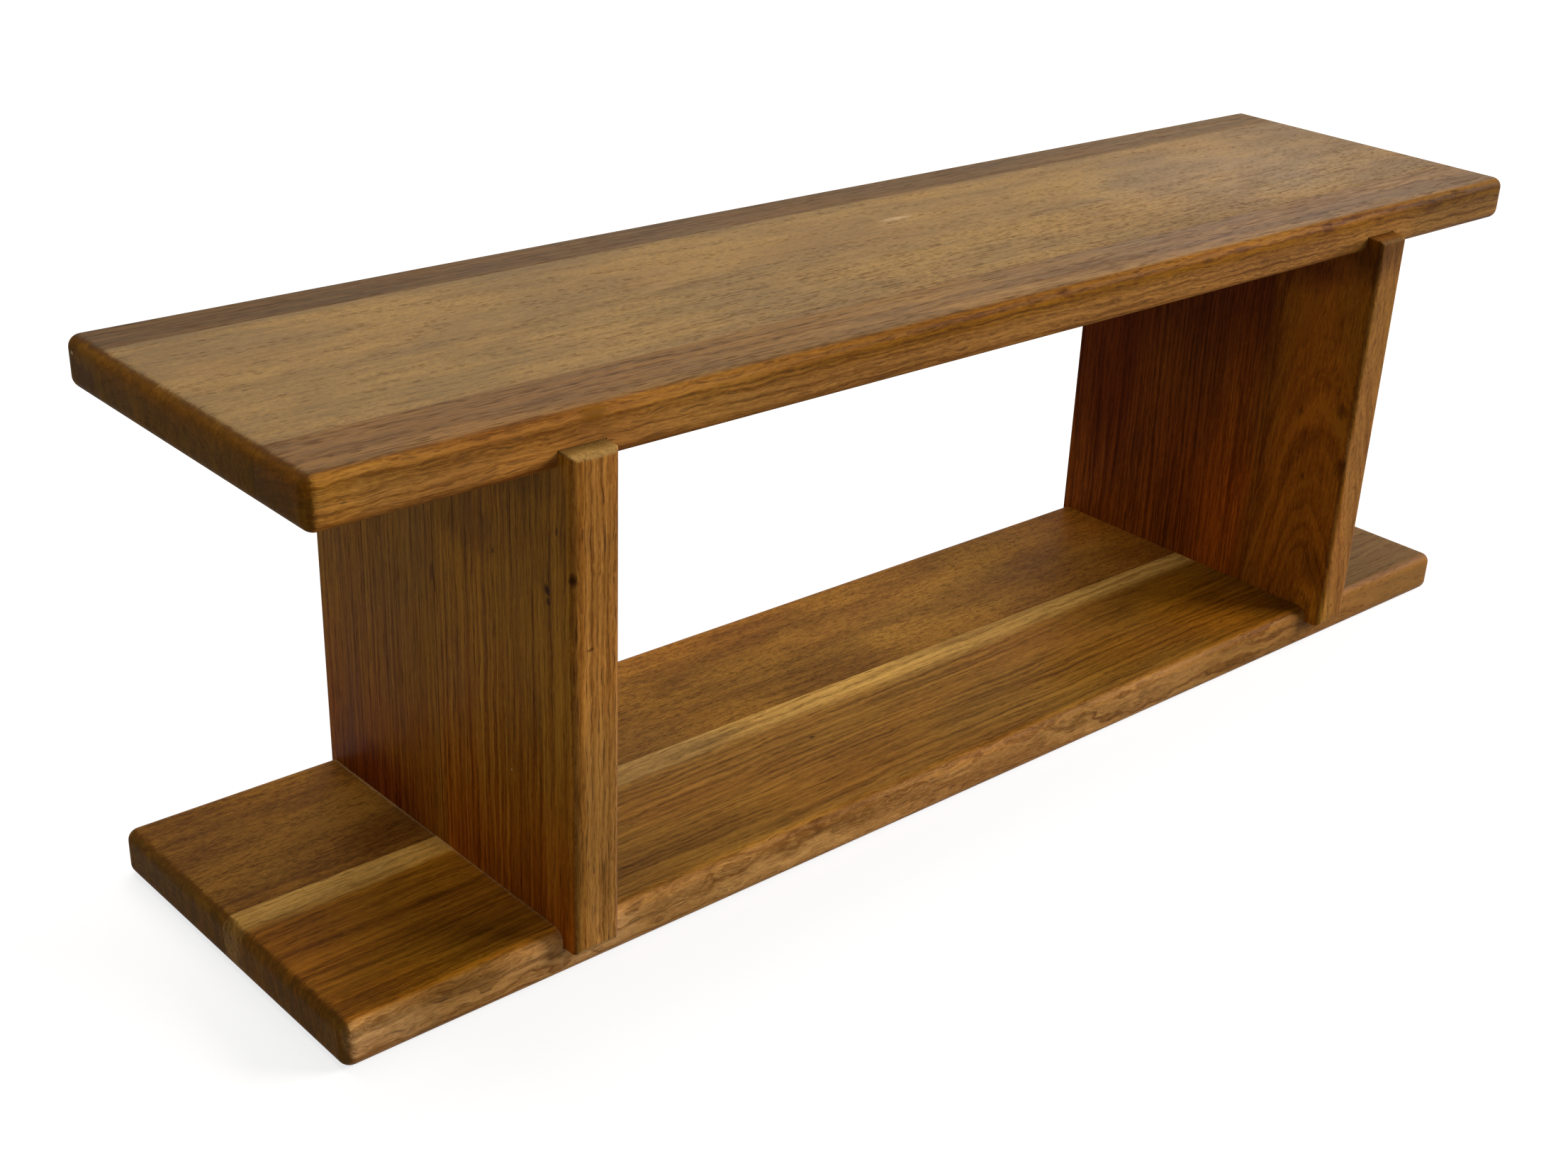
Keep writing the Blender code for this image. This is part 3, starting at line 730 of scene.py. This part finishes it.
class Oak(Recipe):
    """Oiled oak as a solid, in millimetres along the grain, across the board and through it.

    Rings are the distance to the pith, swayed by slow noise, leaning along the grain, and cut into equal parts.
    Pores are stretched cells, kept more often in the first part of a ring. Streaks and thin lines are noise
    along the grain and the ring, so they follow the figure. A border is a colour that fades in ragged streaks
    with the distance from a glue line: the colour, the line's place, its reach, its share and its raggedness.
    Each step after that tints or covers the wood so far.
    """

    def __init__(self, node, colour, borders):
        name = "oak_" + node
        super().__init__(bpy.data.materials.new(name))
        figure = self.figure = FIGURES[node]
        source = self.outs("ShaderNodeTexCoord", {})
        self.place = source["Object"] * ((MILLIMETRES,) * 3)
        self.parts, self.normal = self.split(self.place), self.split(source["Normal"])
        self.along = self.parts[figure["grain"]]
        self.forward = self.step(self.normal[1], -0.25, -0.75)
        self.aside = 1.0 - self.forward
        shift = sum(ord(letter) for letter in name) % 97 * 37.0
        self.length = self.along + shift
        self.spot = self.join(self.length, self.parts[ACROSS], self.parts[2 - figure["grain"]])
        self.make_rings()
        self.make_pores()
        self.make_streaks()
        self.colour_body(colour, borders)
        self.draw_lines()
        self.shade_faces()
        end = self.make_panel_ends() if figure["grain"] == 2 else self.make_board_ends()
        self.tint_places()
        gloss = around(self.blotch, 0.16) + figure["rough"] + (self.pore * 0.22 + end * 0.12)
        self.finish(self.wood, gloss, around(self.thread, 0.5) - self.pore, 0.00012, 0.8,
                    Specular_IOR_Level=figure["specular"])

    def tint(self, share, tint):
        self.wood = self.mix(share, self.wood, tint, "MULTIPLY")

    def cover(self, share, colour):
        self.wood = self.mix(share, self.wood, colour)

    def grained(self, place, kind):
        long, wide, settings = NOISES[kind]
        return self.noise(place * (1 / long, 1 / wide, 1 / wide), **settings)

    def make_rings(self):
        figure = self.figure
        swayed = pushed(self.spot, self.grained(self.spot, "sway"), (0.0, figure["wander"], figure["wander"]))
        swell = (self.forward + 1.0) * figure["ripple"]
        self.swayed = pushed(swayed, self.grained(self.spot, "ripple"), self.join(0.0, swell, swell))
        radius = ((self.swayed - (0.0, *figure["pith"])) * (0.0, 1.0, 1.0)).operate("LENGTH")
        self.rings = (radius + self.length * figure["lean"]) / figure["ring"]
        uneven = around(self.noise(self.join(self.rings * 0.31), detail=1.0), 2.2)
        in_ring = (self.rings + uneven).operate("FRACT")
        self.porous = self.step(in_ring, 0.55, 0.12).operate("MAXIMUM", self.step(in_ring, 0.955, 1.0))

    def make_pores(self):
        figure, step = self.figure, self.step
        across = 1 / figure["pore_gap"]
        cells = {"Vector": self.swayed * (1 / figure["pore_length"], across, across), "Scale": 1.0}
        cell = self.outs("ShaderNodeTexVoronoi", cells, voronoi_dimensions="3D", feature="F1")
        pick = self.split(cell["Color"])
        crowded, self.more = self.porous * 0.62, 1.0
        if "crowd" in figure:
            rear, front, left, right = figure["crowd"]
            self.more = step(self.parts[ACROSS], rear, front) * step(self.along, left, right)
            crowded = crowded + (self.more * 0.50 - 0.10)
        kept = step(pick[0] + crowded, 0.80, 0.98)
        self.pore = step(cell["Distance"], 0.50, 0.24) * kept * (pick[1] * 0.6 + 0.4)
        self.fine_pore = step(self.grained(self.swayed, "fine"), 0.54, 0.74) * (self.porous * 0.6 + 0.4)

    def make_streaks(self):
        figure = self.figure
        self.streak = self.noise(self.join(self.length / 210.0, self.rings * 1.1), detail=3.0, roughness=0.6)
        self.fibre, self.thread, self.grit, self.curl = (
            self.grained(self.swayed, kind) for kind in ("fibre", "thread", "grit", "curl"))
        self.blotch = self.grained(self.spot, "blotch")
        self.calm = self.step(self.along, *figure["calm"]) if "calm" in figure else 0.0

    def lightness(self):
        """How light the wood is at each place: streaks, fibres and blotches together, less the porous rings."""
        figure = self.figure
        ridge = 1.0 - abs(around(self.curl, 5.0))
        fleck = self.step(ridge, 0.45, 1.0) * self.step(self.blotch, 0.42, 0.62)
        porous = self.porous
        if "arches" in figure:
            porous = porous * self.step(self.along, *figure["arches"])
        light = around(self.streak, figure["streaks"] * 3.6) + around(self.fibre, figure["fibre"])
        light = light + around(self.thread, figure["fibre"] * 0.8) + around(self.grit, figure["grit"])
        light = light + around(self.blotch, figure["mottle"] * 1.8) + fleck * figure["fleck"]
        light = (light - porous * (figure["rings"] * 0.8)) * (1.0 - self.calm * 0.55)
        return light.operate("ADD", 0.5 + figure["rings"] * 0.35 - figure["fleck"] * 0.2, use_clamp=True)

    def colour_body(self, colour, borders):
        """The stave's own colour, slow changes of tone, the colours that reach in from the glue lines, and grey on
        upward faces: oil that has dried, with a painted sheen.
        """
        light = self.lightness()
        self.wood = self.mix(light, tinted(colour, DARK_WOOD), tinted(colour, PALE_WOOD))
        tones = self.split(self.grained(self.spot, "tone"))
        for tone, tint in zip(tones, (REDDER, GREENER)):
            self.tint(self.step(tone, 0.45, 0.70, 0.0, self.figure["tone"]), tint)
        self.spared = 0.0
        for edge_colour, edge, width, amount, loose in borders:
            ragged = around(self.streak, loose) + around(self.blotch, loose * 0.4)
            inward = abs(self.parts[ACROSS] - edge) + ragged
            share = self.step(inward, width + 5.0, width - 3.0) * amount
            self.cover(share, self.mix(light, tinted(edge_colour, DARK_BORDER), tinted(edge_colour, PALE_BORDER)))
            self.spared = share.operate("MAXIMUM", self.spared)
        # Upward faces grey: oil that has dried, with a painted sheen
        self.cover(self.step(self.normal[2], 0.86, 0.985, 0.0, 0.24 * self.figure["dry_oil_and_sheen"]), DRY_OIL_AND_SHEEN)

    def draw_lines(self):
        """Thin dark and pale lines in patches, dark dashes on the faces that look aside, and the pores."""
        figure, step = self.figure, self.step
        length, per_ring = figure["line"]
        line = self.noise(self.join(self.length / length, self.rings * per_ring), roughness=0.6)
        patch = step(self.grained(self.spot, "patch"), 0.38, 0.60, 0.35, 1.0) * (1.0 - self.calm * 0.75)
        strength = self.forward * (figure["lines"] * 0.4) + figure["lines"] * 0.6
        for low, high, tint in ((0.52, 0.66, DARK_LINE), (0.46, 0.32, PALE_LINE)):
            self.tint(step(line, low, high) * patch * strength, tint)
        long, wide, dashes = figure["dash"]
        dash = step(self.noise(self.swayed * (1 / long, 1 / wide, 1 / wide), roughness=0.6), 0.54, 0.62)
        self.tint(dash * (self.more * (dashes * 0.6) + dashes * 0.4) * self.aside, DASH)
        self.cover(self.pore * figure["pores"], bpy.context.scene.shelf_colours.pores)
        self.tint(self.fine_pore * figure["fine"], FINE_PORE)

    def shade_faces(self):
        """Changes along the stave, painted light, shade and sheen with some tone: on the faces that look aside, then
        on the forward ones, which turn amber.
        """
        figure, step = self.figure, self.step
        beside = self.aside * (1.0 - self.spared)
        # Bands of painted shade, light and sheen along the stave, with some changes of tone
        for start, stop, loose, tint in figure.get("shades", ()):
            self.tint(step(self.along + around(self.streak, loose), start, stop) * beside, tint)
        axis, start, stop = figure["amber"]
        self.upper = step(self.parts[axis] + around(self.streak, 10.0), start, stop)
        if "front" not in figure:
            return
        # The forward faces' tint: partly their colour, partly painted light and shade
        self.tint(self.forward, figure["front"])
        # Bands of painted light and shade along the forward faces, with some changes of tone
        for start, stop, tint in figure.get("front_shades", ()):
            self.tint(step(self.along, start, stop) * self.forward, tint)
        amber = self.upper * self.forward
        if "glowing" in figure:
            amber = amber * step(self.along, *figure["glowing"], 0.35, 1.0)
        self.tint(amber, figure["glow"])
        if "burl" in figure:
            gain, start, stop = figure["burl"]
            knob = step(self.grained(self.spot, "knob"), 0.52, 0.68) * amber * gain
            self.tint(knob * step(self.along, start, stop), KNOB)

    def end_facing(self):
        """How far a face looks along the grain, roughened by scratches, and the scratches."""
        hatch = self.noise(self.place * (1 / 14, 1 / 5.5, 1 / 12), detail=4.0, roughness=0.75)
        return abs(self.normal[self.figure["grain"]]) + around(hatch, 0.9), hatch

    def make_panel_ends(self):
        """Paints shade on the faces towards the lamps, darkens the long arrises with a dark line and painted shade,
        and covers the ends with end wood, pale with wear at the front and darker behind as painted shade under the
        board.
        """
        step = self.step
        facing, hatch = self.end_facing()
        # Painted shade on the faces towards the lamps, as the uprights' colours are raised for their faces in shade
        lamp_side_shade = step(self.normal[0], 0.30, 0.80).operate("MAXIMUM", step(self.normal[1], 0.30, 0.80))
        self.tint(lamp_side_shade, self.figure["lamp_side_shade"])
        # A dark ragged line along the rounding, and painted shade against the lamp's highlight on it
        turn = abs(self.normal[1]) + around(self.curl, 0.9)
        self.tint(step(turn, 0.10, 0.30) * step(turn, 0.75, 0.45) * 0.60, PANEL_ARRIS_LINE_AND_SHADE)
        # Pale end wood at the front, where it wears, and darker behind as painted shade under the board's edge
        end_wear_and_shade = step(self.parts[ACROSS] + around(hatch, 16.0), -98.0, -104.0)
        end_wood = self.mix(end_wear_and_shade, scaled(PANEL_END, 0.36), PANEL_END)
        end_wood = self.mix(step(self.grit, 0.35, 0.65, 0.0, 0.8), end_wood, scaled(PANEL_END, 0.50))
        end = step(facing, 0.10, 0.55)
        # A smaller share, as on the right upright, leaves the end darker: painted shadow under the top board
        self.cover(end * self.figure["end_wear_and_shade"], end_wood)
        return end

    def make_board_ends(self):
        """Covers the ends with end wood, rings them with a dark rim, and warms the long arrises."""
        figure, step = self.figure, self.step
        facing, hatch = self.end_facing()
        cloud = self.noise(self.place * (1 / 30, 1 / 11, 1 / 14), detail=3.0)
        end = step(facing, 0.36, 0.68)
        end_wood = self.mix(0.30, self.mix(1.0, self.wood, figure["end"], "MULTIPLY"), END_GRAIN)
        end_wood = self.mix(step(hatch, 0.38, 0.64, 0.0, 0.75), end_wood, scaled(END_GRAIN, 0.5))
        end_wood = self.mix(step(cloud, 0.50, 0.62, 0.0, 0.30), end_wood, scaled(END_GRAIN, 1.5))
        self.cover(end, end_wood)
        if "end_glow" in figure:
            self.tint(end * self.upper, figure["end_glow"])
        rim = step(facing, 0.26, 0.42) * step(facing, 0.80, 0.55)
        self.cover(rim * step(cloud, 0.36, 0.56, 0.25, 0.75), RIM)
        arris = self.out("ShaderNodeAttribute", {}, "Fac", attribute_name="arris")
        self.tint(step(arris, 0.10, 0.55) * (1.0 - end) * 0.4, BOARD_ARRIS)
        return end

    def away(self, place, spot, long, wide):
        """How far a place is from a spot, where the reach along and across the grain counts as one."""
        nearness = [1 / wide] * 3
        nearness[self.figure["grain"]] = 1 / long
        return ((place - spot) * tuple(nearness)).operate("LENGTH")

    def tint_places(self):
        """Soft patches of painted shadow, light and sheen and of tone, the dark seam of the glue line, and small marks
        with wavering outlines.
        """
        figure = self.figure
        # Soft patches of painted shadow, light and sheen, and of tone
        for spot, long, wide, tint in figure.get("painted_light_and_tone_patches", ()):
            ragged = self.away(self.place, spot, long, wide) + around(self.streak, 0.8)
            self.tint(self.step(ragged, 1.3, 0.5), tint)
        glue, glue_strength = figure["seam"]
        seam = abs(self.parts[ACROSS] + around(self.fibre, 1.2) - glue)
        self.tint(self.step(seam, 0.75, 0.15, 0.0, glue_strength), GLUE)
        wavering = pushed(self.place, self.noise(self.place, "Color", scale=0.35), (2.0, 2.0, 2.0))
        for kind, mark_colour in MARK_COLOURS.items():
            marked = 0.0
            for *spot, long, wide, strength in figure.get(kind, ()):
                mark = self.step(self.away(wavering, spot, long, wide), 1.1, 0.35, 0.0, strength)
                marked = mark.operate("MAXIMUM", marked)
            if kind in figure:
                self.cover(marked, mark_colour)


def zinc(name, colour, roughness, grain):
    """Zinc plating: fine scratches one way, cloudy patches, and dull spots."""
    recipe = Recipe(bpy.data.materials.new(name))
    place = recipe.out("ShaderNodeTexCoord", {}, "Object") * ((MILLIMETRES,) * 3)
    scratch = recipe.noise(place * grain, detail=3.0)
    cloud = recipe.noise(place, scale=0.35, detail=3.0)
    bright = (around(cloud, 1.4) + around(scratch, 0.8)).operate("ADD", 0.5, use_clamp=True)
    metal = recipe.mix(bright, scaled(colour, 0.72), scaled(colour, 1.12))
    dull = around(cloud, 0.3) + roughness + around(scratch, 0.2)
    return recipe.finish(metal, dull, scratch, 0.00003, 0.5, Metallic=1.0)


# Operators


def shelf_pieces(shelf, colours, borders):
    """The staves of one board, each from the drawing's node box, closed up to its glue lines."""
    sizes = bpy.context.scene.shelf_sizes
    staves = SHELVES[shelf]
    housings = []
    for side in SIDES:
        low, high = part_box(f"{side}_panel_front_stave")
        walls = (low.x - sizes.housing_gap, high.x + sizes.housing_gap)
        limits = (-np.inf, low.z - HOUSING_FLOOR_GAP)
        if shelf == "top":
            limits = (high.z + HOUSING_FLOOR_GAP, np.inf)
        housings.append((walls, limits))
    for index, node in enumerate(staves):
        low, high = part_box(node)
        front, rear = low.y, high.y
        if index > 0:
            front = (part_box(staves[index - 1])[1].y + low.y + sizes.glue_line) / 2
        if index < len(staves) - 1:
            rear = (high.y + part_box(staves[index + 1])[0].y - sizes.glue_line) / 2
        free = (index == 0, index == len(staves) - 1)
        spans = ((low.x, high.x), (front, rear), (low.z, high.z))
        mesh = board_surface(node + "_wood", (0, 1, 2), spans, sizes.edge_radius, sizes.edge_radius,
                             free, (1, 1), housings, sizes)
        add_piece(mesh, node, Oak(node, colours[index], borders[index]).owner)


class SHELF_OT_top_board(Operator):
    """Make the top board: three staves with rounded edges, grooved underneath for the uprights"""

    bl_idname = "shelf.top_board"
    bl_label = "Top board"

    def execute(self, context):
        colours = context.scene.shelf_colours
        front, middle, rear = colours.top_front, colours.top_middle, colours.top_rear
        front_line, rear_line = (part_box(node)[0].y * MILLIMETRES for node in SHELVES["top"][1:])
        borders = (((middle, front_line, -1.0, 0.7, 8.0),),
                   ((front, front_line, 2.0, 0.7, 14.0), (rear, rear_line, 2.0, 0.65, 16.0)),
                   ((middle, rear_line, -1.0, 0.6, 6.0),))
        shelf_pieces("top", (front, middle, rear), borders)
        return {"FINISHED"}


class SHELF_OT_bottom_board(Operator):
    """Make the lower board: two staves, the front one with a pale sapwood edge at the glue line"""

    bl_idname = "shelf.bottom_board"
    bl_label = "Lower board"

    def execute(self, context):
        colours = context.scene.shelf_colours
        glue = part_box("bottom_shelf_front_stave")[1].y * MILLIMETRES
        shelf_pieces("bottom", (colours.bottom_front, colours.bottom_rear),
                     (((colours.sapwood, glue, 15.5, 0.85, 18.0),), ()))
        return {"FINISHED"}


class SHELF_OT_uprights(Operator):
    """Make the uprights: the front stave rounded round its front face, the rear stave cut for the plate"""

    bl_idname = "shelf.uprights"
    bl_label = "Uprights"

    def execute(self, context):
        sizes, colours = context.scene.shelf_sizes, context.scene.shelf_colours
        for side in SIDES:
            node, rear_node = f"{side}_panel_front_stave", f"{side}_panel_rear_stave"
            front, rear = getattr(colours, side + "_front"), getattr(colours, side + "_rear")
            low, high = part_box(node)
            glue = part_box(rear_node)[0].y
            spans = ((low.y, glue - PANEL_GLUE_GAP), (low.x, high.x), (low.z, high.z))
            mesh = board_surface(node + "_wood", (1, 0, 2), spans, sizes.panel_radius, sizes.panel_corner,
                                 (1, 1), (1, 0), (), sizes)
            line = glue * MILLIMETRES
            add_piece(mesh, node, Oak(node, front, ((rear, line, 2.0, 0.6, 20.0),)).owner)
            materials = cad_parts[rear_node].data.materials
            materials.clear()
            materials.append(Oak(rear_node, rear, ((front, line, 5.0, 0.6, 24.0),)).owner)
        return {"FINISHED"}


class SHELF_OT_hangers(Operator):
    """Make the keyhole plates with eased edges and their threaded, cross-headed screws"""

    bl_idname = "shelf.hangers"
    bl_label = "Hanging plates"

    def execute(self, context):
        sizes, colours = context.scene.shelf_hanger_sizes, context.scene.shelf_colours
        plate_zinc = zinc("bright_zinc", colours.plate, 0.30, (1 / 0.35, 1 / 0.35, 1 / 9.0))
        screw_zinc = zinc("yellow_zinc", colours.screw, 0.28, (1 / 0.4, 1 / 0.4, 1 / 0.4))
        for side in SIDES:
            node = f"{side}_hanger_plate"
            plate = add_piece(merged_copy(node, node + "_steel"), node, plate_zinc)
            bevel = plate.modifiers.new("eased_edges", "BEVEL")
            bevel.width = sizes.plate_edge
            bevel.segments = 3
            bevel.limit_method = "ANGLE"
            bevel.angle_limit = math.radians(PLATE_BEVEL_ANGLE)
            for level in ("upper", "lower"):
                screw = f"{side}_hanger_screw_{level}"
                low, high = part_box(screw)
                spot = ((low.x + high.x) / 2, high.y, (low.z + high.z) / 2)
                mesh = screw_surface(screw + "_steel", spot, (high.z - low.z) / 2, high.y - low.y,
                                     SCREW_TURNS[f"{side}_{level}"], sizes)
                add_piece(mesh, screw, screw_zinc)
        return {"FINISHED"}


def soft_lamp(name, spot, aim, width, height, power):
    lamp = bpy.data.lights.new(name, "AREA")
    lamp.shape = "RECTANGLE"
    lamp.size, lamp.size_y = width, height
    lamp.energy = power
    lamp.color = LAMP_COLOUR
    holder = bpy.data.objects.new(name, lamp)
    holder.location = spot
    holder.rotation_euler = (Vector(aim) - Vector(spot)).to_track_quat("-Z", "Y").to_euler()
    bpy.context.scene.collection.objects.link(holder)


class SHELF_OT_stage(Operator):
    """Make the camera, the soft lamps, the room light and the plain pale floor"""

    bl_idname = "shelf.stage"
    bl_label = "Stage"

    def execute(self, context):
        stage = context.scene.shelf_stage
        self.camera(context.scene, stage)
        self.floor(stage)
        self.room(context.scene, stage)
        soft_lamp("top_lamp", (0.05, 0.75, 1.95), (0.0, 0.0, 0.15), 1.8, 1.4, stage.top_light)
        soft_lamp("front_lamp", (2.4, -1.7, 1.5), (0.0, 0.0, 0.12), 1.6, 1.2, stage.front_light)
        return {"FINISHED"}

    def camera(self, scene, stage):
        level = math.cos(stage.elevation)
        back = Vector((math.sin(stage.azimuth) * level, -math.cos(stage.azimuth) * level, math.sin(stage.elevation)))
        right = (-back).cross(Vector((0.0, 0.0, 1.0))).normalized()
        up = right.cross(-back)
        cosine, sine = math.cos(stage.roll), math.sin(stage.roll)
        right, up = cosine * right + sine * up, cosine * up - sine * right
        lens = bpy.data.cameras.new("camera")
        lens.lens, lens.sensor_width, lens.sensor_fit = stage.lens, FILM_WIDTH, "HORIZONTAL"
        lens.shift_x, lens.shift_y = stage.shift_x, stage.shift_y
        camera = bpy.data.objects.new("camera", lens)
        place = Vector(stage.target) + back * stage.distance
        camera.matrix_world = Matrix.Translation(place) @ Matrix((right, up, back)).transposed().to_4x4()
        scene.collection.objects.link(camera)
        scene.camera = camera

    def floor(self, stage):
        """A level square, seen white in the open and grey in the shelf's shadow."""
        side = np.array([-0.5, 0.5]) * FLOOR_SIDE
        corners = np.stack(np.meshgrid(side, side), -1).reshape(-1, 2)
        mesh = bpy.data.meshes.new("floor")
        mesh.from_pydata(np.column_stack((corners, np.full(4, -FLOOR_DROP))).tolist(), [], [(0, 1, 3, 2)])
        recipe = Recipe(bpy.data.materials.new("pale_floor"))
        distance = recipe.out("ShaderNodeTexCoord", {}, "Object").operate("LENGTH")
        shown = recipe.seen() * recipe.step(distance, 0.7, 2.2, 0.76, 1.0)
        white = recipe.out("ShaderNodeEmission", {"Strength": shown})
        matt = recipe.out("ShaderNodeBsdfDiffuse", {"Color": stage.floor_colour})
        both = recipe.out("ShaderNodeAddShader", {0: matt, 1: white})
        recipe.put(recipe.tree.nodes["Material Output"].inputs["Surface"], both)
        recipe.tree.nodes.remove(recipe.tree.nodes["Principled BSDF"])
        mesh.materials.append(recipe.owner)
        floor = bpy.data.objects.new("floor", mesh)
        bpy.context.scene.collection.objects.link(floor)
        floor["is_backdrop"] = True

    def room(self, scene, stage):
        recipe = Recipe(bpy.data.worlds.new("room"))
        light = {"Value": recipe.seen(), "To Min": stage.world_light}
        inputs = recipe.tree.nodes["Background"].inputs
        recipe.put(inputs["Strength"], recipe.out("ShaderNodeMapRange", light, "Result"))
        recipe.put(inputs["Color"], WHITE)
        scene.world = recipe.owner
        scene.view_settings.view_transform = "Standard"


class SHELF_PT_pieces(Panel):
    """Lists the shelf's pieces, sizes and colours"""

    bl_idname = "SHELF_PT_pieces"
    bl_label = "Oak wall bookshelf"
    bl_space_type = "VIEW_3D"
    bl_region_type = "UI"
    bl_category = "Shelf"

    def draw(self, context):
        for operator in OPERATORS:
            self.layout.operator(operator.bl_idname)
        for name, group in GROUPS.items():
            box = self.layout.box()
            for setting in group.__annotations__:
                box.prop(getattr(context.scene, name), setting)


GROUPS = {
    "shelf_sizes": ShelfSizes,
    "shelf_colours": ShelfColours,
    "shelf_hanger_sizes": ShelfHangerSizes,
    "shelf_stage": ShelfStageSizes,
}
OPERATORS = (SHELF_OT_top_board, SHELF_OT_bottom_board, SHELF_OT_uprights, SHELF_OT_hangers, SHELF_OT_stage)


def register():
    for made in (*GROUPS.values(), *OPERATORS, SHELF_PT_pieces):
        bpy.utils.register_class(made)
    for name, group in GROUPS.items():
        setattr(bpy.types.Scene, name, PointerProperty(type=group))


def unregister():
    for name in GROUPS:
        delattr(bpy.types.Scene, name)
    for made in reversed((*GROUPS.values(), *OPERATORS, SHELF_PT_pieces)):
        bpy.utils.unregister_class(made)


def corners():
    return [list(corner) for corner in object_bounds()]


def main():
    register()
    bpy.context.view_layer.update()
    bpy.ops.shelf.top_board()
    bpy.ops.shelf.bottom_board()
    bpy.ops.shelf.uprights()
    bpy.ops.shelf.hangers()
    bpy.ops.shelf.stage()


if __name__ == "__main__":
    main()
